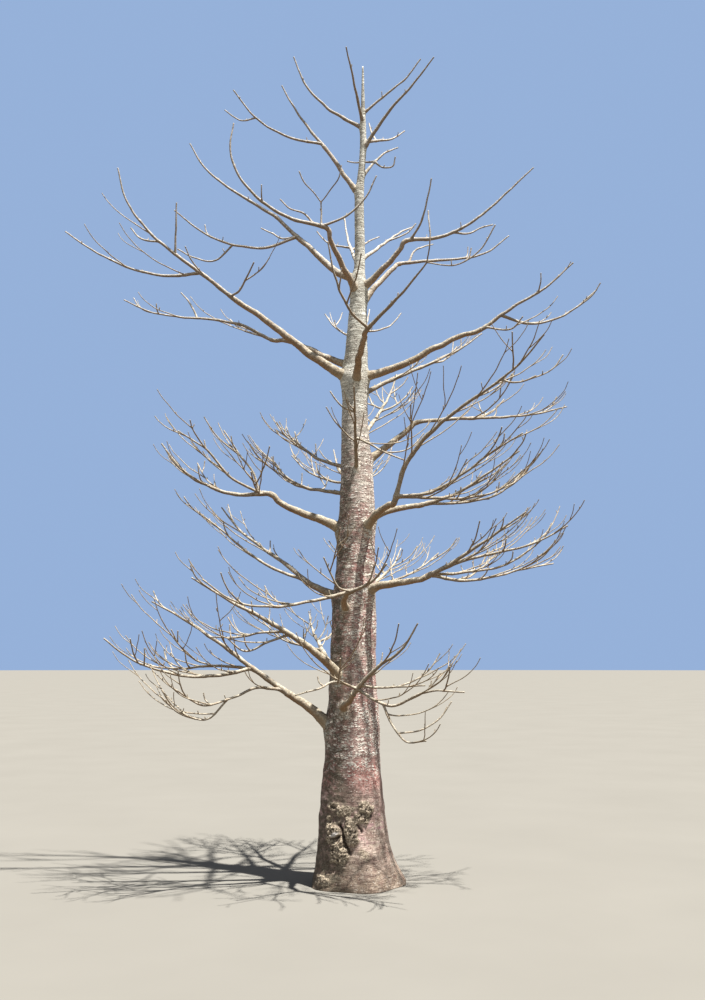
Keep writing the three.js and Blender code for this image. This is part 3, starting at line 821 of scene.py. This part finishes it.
def burl_relief(around, heights, radius, lumps):
    """Warty burls and crevices: the relief, and how much of each place is burl, pit or crevice darkened with
    painted shade, and pale knob
    """
    ragged = sum(share * lumps(size, seed) for share, size, seed in RAGGED)
    burl, mound = np.zeros(radius.shape), np.zeros(radius.shape)
    for height, heading, wide, tall, stands in BURLS:
        away = np.hypot(arc_to(around, heading, radius) / wide, (heights - height) / tall)
        body = smooth_step(-(away + ragged), *BURL_EDGE)
        burl = np.maximum(burl, body * min(1, stands / FULL_BURL))
        mound += (stands * body) ** 3
    relief = np.cbrt(mound)
    for size, height, seed in WARTS:
        relief += burl * height * (2 * np.abs(lumps(size, seed)) - WART_SINK)
    pit = burl * smooth_step(lumps(PIT_SIZE, 8), *PIT_EDGE)
    relief -= PIT_DEPTH * pit
    for (low, first), (high, last), wide, depth in CREVICES:
        across = arc_to(around, first, radius) + CREVICE_WANDER[0] * ragged
        up = heights - low + CREVICE_WANDER[1] * ragged
        run = np.array((math.radians(last - first) * FOOT_RADIUS, high - low))
        along = np.clip((across * run[0] + up * run[1]) / (run @ run), 0, 1)
        groove = np.exp(-((np.hypot(across - along * run[0], up - along * run[1]) / wide) ** 2))
        relief -= depth * groove
        pit = np.maximum(pit, groove)
    height, heading, wide, stands, slant, flatness = PALE_KNOB
    across = arc_to(around, heading, radius)
    up = heights - height - slant * across
    knob = np.exp(-((np.hypot(across, flatness * up) / wide) ** 4))
    return relief + stands * knob, burl, pit * (1 - knob), knob


def make_trunk(limbs, material):
    first, last, columns = FINE_COLUMNS
    fine_turns = np.linspace(first, last, columns, endpoint=False)
    wide_turns = np.linspace(last, first + 360, WIDE_COLUMNS, endpoint=False)
    around, heights = np.meshgrid(np.radians([*fine_turns, *wide_turns]), trunk_heights())
    lean = blurred(LEAN, heights, LEAN_BLUR) * np.clip(heights / LEAN_BLUR, 0, 1)
    flare = 1 + FLARE_DEPTH * np.cos(FLARE_LOBES * around) * np.exp(-heights / FLARE_HEIGHT)
    radius = blurred(GIRTH, heights, GIRTH_BLUR) * flare
    places = np.stack([radius * np.cos(around), radius * np.sin(around), heights], axis=-1)

    def lumps(size, seed):
        return noise_field(places, size, seed)

    thick = np.clip(radius / LUMPY_RADIUS, *LUMPY_SHARES)
    broad = BROAD_LUMP * thick * lumps(BROAD_SIZE, 1)
    medium = MEDIUM_LUMP * thick * lumps(MEDIUM_SIZE, 2)
    fine = FINE_LUMP * lumps(FINE_SIZE, 3)
    drift = SCAR_RING_DRIFT * lumps(DRIFT_SIZE, 4)
    patches = np.clip(SCAR_RING_SHARE + SCAR_RING_CONTRAST * lumps(SCAR_RING_PATCH, 6), 0, 1)
    rings = np.cos(2 * math.pi * (heights / SCAR_RING_SPACING + drift))
    burls, burl, pit, knob = burl_relief(around, heights, radius, lumps)
    shaded = smooth_step(np.cos(around - math.radians(SHADED_HEADING)), *SHADED_EDGE)
    foot = np.clip(heights / SMOOTH_FOOT, 0, 1)
    scars = rings * patches * between(SCAR_RING_DEPTH, heights)
    radius = radius + foot * (broad + medium + fine + scars + burls)
    bulge, collar = collar_bulges(around, heights, radius, limbs)
    radius = radius + bulge
    tube = np.stack([lean + radius * np.cos(around), radius * np.sin(around), heights], axis=-1)
    marks = dict(burl=burl, pit=pit, knob=knob, shaded=shaded, collar=collar)
    make_piece("tree_trunk", [tube], material, "bark", ["trunk"], **marks)


# Materials
VECTORS = "ShaderNodeVectorMath"
SPOT_EDGE = (0.08, -0.02)
BAND_CORE = 0.3


def tint(red, green, blue):
    """A colour given as the eye sees it, from 0 to 255, in the shader's own linear units"""
    return tuple(((value / 255) ** 2.2) for value in (red, green, blue)) + (1,)


class Finish:
    """A material put together from named steps"""

    def __init__(self, name, roughness):
        self.material = bpy.data.materials.new(name)
        self.material.use_nodes = True
        tree = self.material.node_tree
        self.nodes, self.links = tree.nodes, tree.links
        self.shader = self.nodes["Principled BSDF"]
        self.shader.inputs["Roughness"].default_value = roughness
        self.shader.inputs["Specular IOR Level"].default_value = 0.25
        self.place = self.add("ShaderNodeTexCoord").outputs["Object"]
        self.colour = None
        self.relief = None

    def add(self, kind, inputs=None, **settings):
        """A node with its settings, and what each of its inputs, by name or number, is fed"""
        node = self.nodes.new(kind)
        for key, value in settings.items():
            setattr(node, key, value)
        for key, value in (inputs or {}).items():
            self.feed(node.inputs[key], value)
        return node

    def feed(self, socket, value):
        if isinstance(value, bpy.types.NodeSocket):
            self.links.new(value, socket)
        else:
            socket.default_value = value

    def texture(self, kind, place, size, **inputs):
        scaled = self.math("DIVIDE", place, size, VECTORS)
        return self.add(kind, {"Vector": scaled, "Scale": 1.0, **inputs}).outputs

    def noise(self, size, detail, rough=0.55):
        """Noise from 0 to 1 with marks of the given size along each axis"""
        return self.texture("ShaderNodeTexNoise", self.place, size, Detail=detail, Roughness=rough)["Fac"]

    def spots(self, size, share, shift=0.0):
        """1 on separate spots in cells of the given size; the share says how many cells have a spot"""
        moved = self.math("ADD", self.place, (0, 0, shift), VECTORS)
        cells = self.texture("ShaderNodeTexVoronoi", moved, size)
        chance = self.part("X", cells["Color"])
        reach = self.math("SUBTRACT", self.math("ADD", chance, share), 1.0)
        return self.between(self.math("SUBTRACT", cells["Distance"], reach), *SPOT_EDGE)

    def part(self, name, vector):
        return self.add("ShaderNodeSeparateXYZ", {0: vector}).outputs[name]

    def height(self):
        return self.part("Z", self.place)

    def upward(self):
        """From 0 where the surface faces down to 1 where it faces up"""
        normal = self.add("ShaderNodeNewGeometry").outputs["Normal"]
        return self.between(self.part("Z", normal), -0.8, 0.7)

    def attribute(self, name):
        return self.add("ShaderNodeAttribute", attribute_name=name).outputs["Fac"]

    def math(self, operation, first, second=0.0, kind="ShaderNodeMath"):
        return self.add(kind, {0: first, 1: second}, operation=operation).outputs[0]

    def between(self, value, low, high):
        """From 0 at the low value to 1 at the high one"""
        inputs = {"Value": value, "From Min": low, "From Max": high}
        return self.add("ShaderNodeMapRange", inputs, interpolation_type="SMOOTHSTEP").outputs["Result"]

    def band(self, value, middle, width):
        """1 at the middle value, fading to 0 at a width from it"""
        apart = self.math("ABSOLUTE", self.math("SUBTRACT", value, middle))
        return self.math("SUBTRACT", 1.0, self.between(apart, width * BAND_CORE, width))

    def times(self, first, second):
        return self.math("MULTIPLY", first, second)

    def mix(self, amount, first, second):
        inputs = {"Factor": amount, "A": first, "B": second}
        return self.add("ShaderNodeMix", inputs, data_type="RGBA").outputs["Result"]

    def lay(self, amount, mask, colour):
        """Lays a colour over what is there, as far as the amount, where the mask is 1"""
        self.colour = self.mix(self.times(mask, amount), self.colour, tint(*colour))

    def bump(self, height, distance, strength):
        inputs = {"Height": height, "Distance": distance, "Strength": strength}
        if self.relief:
            inputs["Normal"] = self.relief
        self.relief = self.add("ShaderNodeBump", inputs).outputs["Normal"]

    def done(self):
        self.feed(self.shader.inputs["Base Color"], self.colour)
        self.feed(self.shader.inputs["Normal"], self.relief)
        return self.material


# Sizes of the bark's marks as (across, across, up)
WEATHER_PATCH = (0.16, 0.16, 0.24)
SMALL_PATCH = (0.05, 0.05, 0.036)
CLUSTER = (0.085, 0.085, 0.05)
BLOTCH = (0.07, 0.07, 0.09)
SCAB = (0.075, 0.075, 0.03)
FLECK = (0.026, 0.026, 0.0115)
CHIP = (0.013, 0.013, 0.0065)
WRINKLE = (0.06, 0.06, 0.0048)
RING_BAND = (0.12, 0.12, 0.0135)
LONG_RING = (0.3, 0.3, 0.009)
PORE = (0.013, 0.013, 0.008)
SPECK = (0.007, 0.007, 0.005)
# How far below each fleck its painted shadow lies
FLECK_SHADOW = 0.0055


def trunk_bark():
    bark = Finish("trunk_bark", 0.88)
    height = bark.height()
    weather = bark.noise(WEATHER_PATCH, 4)
    patch = bark.noise(SMALL_PATCH, 4, 0.65)
    cluster = bark.noise(CLUSTER, 3, 0.6)
    pore = bark.noise(PORE, 3, 0.7)
    speck = bark.noise(SPECK, 2, 0.7)

    # From tan-grey at the foot through mauve-brown to grey at the top, with dull and bright patches
    light = bark.between(weather, 0.34, 0.66)
    mauve = bark.mix(light, tint(148, 117, 113), tint(210, 181, 173))
    grey = bark.mix(light, tint(190, 188, 176), tint(244, 244, 235))
    foot = bark.mix(bark.between(patch, 0.35, 0.65), tint(150, 134, 123), tint(200, 184, 168))
    climb = bark.math("ADD", height, bark.times(weather, 2.4))
    bark.colour = bark.mix(bark.between(climb, 3.9, 5.3), mauve, grey)
    bark.colour = bark.mix(bark.times(bark.between(climb, 2.15, 1.4), 0.85), bark.colour, foot)
    bark.lay(0.55, bark.between(height, 0.3, 0.04), (146, 130, 110))
    bark.lay(0.35, bark.between(patch, 0.48, 0.66), (208, 196, 184))
    dull = bark.times(bark.between(cluster, 0.54, 0.38), bark.between(height, 4.0, 2.2))
    bark.lay(0.5, dull, (116, 92, 86))
    bright = bark.times(bark.between(patch, 0.4, 0.56), bark.between(height, 2.5, 3.4))
    bark.lay(0.42, bright, (240, 244, 234))

    # Pink and grey-green blotches round the middle
    blotch = bark.noise(BLOTCH, 3, 0.6)
    middle = bark.band(height, 2.1, 1.3)
    bark.lay(0.5, bark.times(bark.between(blotch, 0.5, 0.6), middle), (186, 132, 126))
    bark.lay(0.5, bark.times(bark.between(blotch, 0.48, 0.38), middle), (184, 184, 168))

    # Rosy specks in two bands and purple patches beside the burls
    rosy_low = bark.times(bark.band(height, 0.8, 0.17), bark.between(weather, 0.44, 0.56))
    rosy_high = bark.times(bark.band(height, 1.33, 0.14), bark.between(patch, 0.5, 0.6))
    rosy = bark.times(bark.math("MAXIMUM", rosy_low, rosy_high), bark.between(pore, 0.44, 0.56))
    bark.lay(0.6, rosy, (188, 94, 86))
    purple = bark.times(bark.band(height, 0.44, 0.2), bark.between(cluster, 0.54, 0.64))
    bark.lay(0.45, purple, (172, 120, 140))

    # Fine wrinkles low down, rings higher up and a few long pale ones
    wrinkle = bark.between(bark.noise(WRINKLE, 3, 0.6), 0.54, 0.66)
    bark.lay(0.42, bark.times(wrinkle, bark.between(patch, 0.34, 0.6)), (92, 70, 64))
    ring = bark.between(bark.noise(RING_BAND, 3, 0.65), 0.44, 0.6)
    groove = bark.times(bark.math("SUBTRACT", 1.0, ring), bark.between(height, 2.0, 3.6))
    bark.lay(0.5, groove, (112, 103, 88))
    long_ring = bark.between(bark.noise(LONG_RING, 2, 0.5), 0.63, 0.7)
    bark.lay(0.8, bark.times(long_ring, bark.between(height, 1.0, 1.8)), (230, 220, 208))

    # Pale flecks with painted shadows along their lower edges, thickest round a metre up and thin towards
    # the foot
    thick = bark.math("ADD", bark.band(height, 1.05, 0.38), bark.times(bark.band(height, 2.5, 2.0), 0.85))
    crowded = bark.times(bark.between(cluster, 0.3, 0.54), bark.math("MINIMUM", thick, 1.0))
    share = bark.math("ADD", 0.12, bark.times(crowded, 0.66))
    # Painted shadow just below each raised fleck
    bark.lay(0.75, bark.spots(FLECK, share, FLECK_SHADOW), (74, 54, 48))
    fleck = bark.spots(FLECK, share)
    bark.lay(0.95, fleck, (250, 244, 234))
    chip = bark.spots(CHIP, bark.math("ADD", 0.34, bark.times(crowded, 0.38)))
    bark.lay(0.9, chip, (246, 238, 226))
    scab = bark.spots(SCAB, bark.times(bark.band(height, 2.5, 1.7), 0.4))
    bark.lay(0.95, bark.times(scab, bark.between(speck, 0.34, 0.48)), (242, 234, 222))

    # Grey-green growth, laid darker as painted shade, on the shaded side, and grey-tan collars with pale
    # growth under the boughs
    lichen_and_shade = bark.times(bark.attribute("shaded"), bark.between(patch, 0.32, 0.58))
    bark.lay(0.84, bark.times(lichen_and_shade, bark.between(height, 4.0, 2.4)), (88, 84, 70))
    collar = bark.attribute("collar")
    bark.lay(0.6, collar, COLLAR_TINT)
    growth = bark.times(bark.between(collar, 0.1, 0.45), bark.between(patch, 0.54, 0.6))
    bark.lay(0.6, growth, (214, 216, 208))

    # Burls, painted shade in their pits and crevices, and the pale knob
    rough = bark.math("ADD", bark.times(pore, 0.5), bark.times(speck, 0.5))
    warty = bark.mix(bark.between(rough, 0.44, 0.54), tint(92, 76, 64), tint(240, 226, 200))
    burl = bark.times(bark.between(bark.attribute("burl"), 0.06, 0.42), bark.between(patch, 0.2, 0.36))
    bark.colour = bark.mix(bark.times(burl, 0.92), bark.colour, warty)
    bark.lay(0.7, bark.times(bark.spots(CHIP, 0.62, FLECK_SHADOW), burl), (52, 42, 35))
    bark.lay(0.85, bark.attribute("knob"), (216, 214, 214))
    # Painted shade in the pits and crevices
    bark.lay(0.88, bark.attribute("pit"), (46, 36, 30))
    bark.lay(0.74, bark.between(pore, 0.56, 0.61), (74, 57, 51))
    bark.lay(0.72, bark.between(speck, 0.57, 0.62), (62, 48, 42))
    bark.bump(ring, 0.0024, 0.8)
    bark.bump(wrinkle, -0.0022, 0.7)
    bark.bump(fleck, 0.0026, 0.9)
    bark.bump(chip, 0.0018, 0.8)
    bark.bump(pore, -0.0032, 0.8)
    return bark.done()


# Marks on the limbs: grey-green patches and dark dashes
LIMB_PATCH = (0.045, 0.045, 0.045)
LIMB_DASH = (0.013, 0.013, 0.009)
COLLAR_TINT = (164, 153, 130)
# Barks: name, colour above and the colour of the painted shade below, size and depth of the rings
BOUGH_BARK = ("bough_bark", (222, 214, 194), (116, 82, 48), 0.016, 0.0024)
ARM_BARK = ("arm_bark", (230, 222, 204), (100, 76, 52), 0.011, 0.0014)
TWIG_BARK = ("twig_bark", (226, 215, 192), (106, 80, 54), 0.008, 0.0008)


def limb_bark(name, top, underside_shade, ring_size, ring_depth):
    bark = Finish(name, 0.85)
    weather = bark.noise((0.06, 0.06, 0.06), 4)
    dull = [0.82 * value for value in top]
    bark.colour = bark.mix(bark.between(weather, 0.32, 0.68), tint(*dull), tint(*top))
    bark.lay(0.6, bark.between(bark.height(), 3.6, 5.2), (240, 237, 231))
    patch = bark.noise(LIMB_PATCH, 4, 0.65)
    bark.lay(0.55, bark.between(patch, 0.5, 0.6), (146, 140, 120))
    # Painted shade: faces that turn down are darkened to brown
    bark.lay(0.9, bark.math("SUBTRACT", 1.0, bark.upward()), underside_shade)
    bark.lay(0.6, bark.attribute("collar"), COLLAR_TINT)
    bark.lay(0.45, bark.between(patch, 0.5, 0.4), (130, 104, 74))
    ring = bark.between(bark.noise((ring_size, ring_size, ring_size), 3, 0.6), 0.42, 0.6)
    bark.lay(0.36, bark.math("SUBTRACT", 1.0, ring), (98, 80, 64))
    dash = bark.spots(LIMB_DASH, 0.28)
    bark.lay(0.45, dash, (84, 66, 52))
    pore = bark.noise((0.006, 0.006, 0.006), 2, 0.7)
    bark.lay(0.45, bark.between(pore, 0.58, 0.72), (74, 58, 46))
    bark.bump(ring, ring_depth, 0.8)
    bark.bump(dash, -0.0012, 0.8)
    bark.bump(pore, -0.0016, 0.6)
    return bark.done()


# The stage
FLOOR_RADIUS = 300.0
CAMERA_PLACE = (-0.03, -8.1, 1.6)
CAMERA_PITCH = 8.9
CAMERA_LENS = 37.8
SUN_FROM = (71, -32)
SUN_STRENGTH = 9.4
SUN_SOFTNESS = 1.0
# Colour and strength of the fill light, and of the backdrop that the camera sees
FILL = ((0.8, 0.86, 1.0, 1), 0.26)
BACKDROP = ((0.36, 0.52, 0.82, 1), 0.85)


def make_floor():
    finish = Finish("floor_finish", 0.95)
    weather = finish.noise((1.4, 1.4, 1.4), 3)
    finish.bump(weather, 0.002, 0.2)
    finish.colour = finish.mix(weather, tint(126, 124, 118), tint(134, 132, 126))
    sides = 96
    turns = [2 * math.pi * side / sides for side in range(sides)]
    rim = [(FLOOR_RADIUS * math.cos(turn), FLOOR_RADIUS * math.sin(turn), 0) for turn in turns]
    mesh = bpy.data.meshes.new("floor")
    mesh.from_pydata(rim, [], [list(range(sides))])
    mesh.materials.append(finish.done())
    new_object("floor", mesh)


def make_light():
    sun = new_object("key_light", bpy.data.lights.new("key_light", "SUN"))
    sun.data.energy = SUN_STRENGTH
    sun.data.angle = math.radians(SUN_SOFTNESS)
    sun.data.color = (1.0, 0.96, 0.9)
    height, heading = SUN_FROM
    towards = Vector(pointing(heading, height))
    sun.rotation_euler = towards.to_track_quat("Z", "Y").to_euler()
    world = bpy.data.worlds.new("soft_sky")
    world.use_nodes = True
    nodes, links = world.node_tree.nodes, world.node_tree.links
    fill, backdrop = nodes["Background"], nodes.new("ShaderNodeBackground")
    for node, (colour, strength) in ((fill, FILL), (backdrop, BACKDROP)):
        node.inputs["Color"].default_value = colour
        node.inputs["Strength"].default_value = strength
    either = nodes.new("ShaderNodeMixShader")
    links.new(nodes.new("ShaderNodeLightPath").outputs["Is Camera Ray"], either.inputs["Fac"])
    links.new(fill.outputs[0], either.inputs[1])
    links.new(backdrop.outputs[0], either.inputs[2])
    links.new(either.outputs[0], nodes["World Output"].inputs["Surface"])
    scene.world = world
    scene.view_settings.view_transform = "Standard"


def make_camera():
    camera = new_object("camera", bpy.data.cameras.new("camera"))
    camera.data.lens = CAMERA_LENS
    camera.data.sensor_width = 36.0
    camera.data.clip_end = 500.0
    camera.location = CAMERA_PLACE
    camera.rotation_euler = (math.radians(90 + CAMERA_PITCH), 0, 0)
    bpy.context.scene.camera = camera


# The tree
def make_tree():
    boughs, arms, branchlets, shoots, twigs, twiglets, spurs = grow_tree()
    for seed, limb in enumerate([*boughs.values(), *arms, *branchlets, *shoots, *twigs, *twiglets, *spurs]):
        draw_curve(limb, seed % CURVE_SEEDS)
    on_trunk = [*boughs.values(), *[limb for limb in arms if limb.parent is None]]
    make_trunk(on_trunk, trunk_bark())
    bough_bark = limb_bark(*BOUGH_BARK)
    for seed, (name, limb) in enumerate(boughs.items()):
        rings = tube_rings(limb, seed, *BOUGH_TUBE)
        away = np.linalg.norm(rings - limb.path[0], axis=2) / (COLLAR_FADE * limb.root)
        collar = np.exp(-away ** 2)
        make_piece("tree_bough_" + name, [rings], bough_bark, "bark", ["bough_" + name], collar=collar)
    arm_bark = limb_bark(*ARM_BARK)
    twig_bark = limb_bark(*TWIG_BARK)
    masses = ["twigs_" + row.name for row in MASSES]
    joined_tubes("tree_arms", arms, ARM_TUBE, arm_bark, masses)
    joined_tubes("tree_branchlets", branchlets + shoots, BRANCHLET_TUBE, arm_bark)
    joined_tubes("tree_twigs", twigs, TWIG_TUBE, twig_bark)
    joined_tubes("tree_twiglets", twiglets, TWIGLET_TUBE, twig_bark)
    joined_tubes("tree_spurs", spurs, SPUR_TUBE, twig_bark)


make_tree()
make_floor()
make_light()
make_camera()
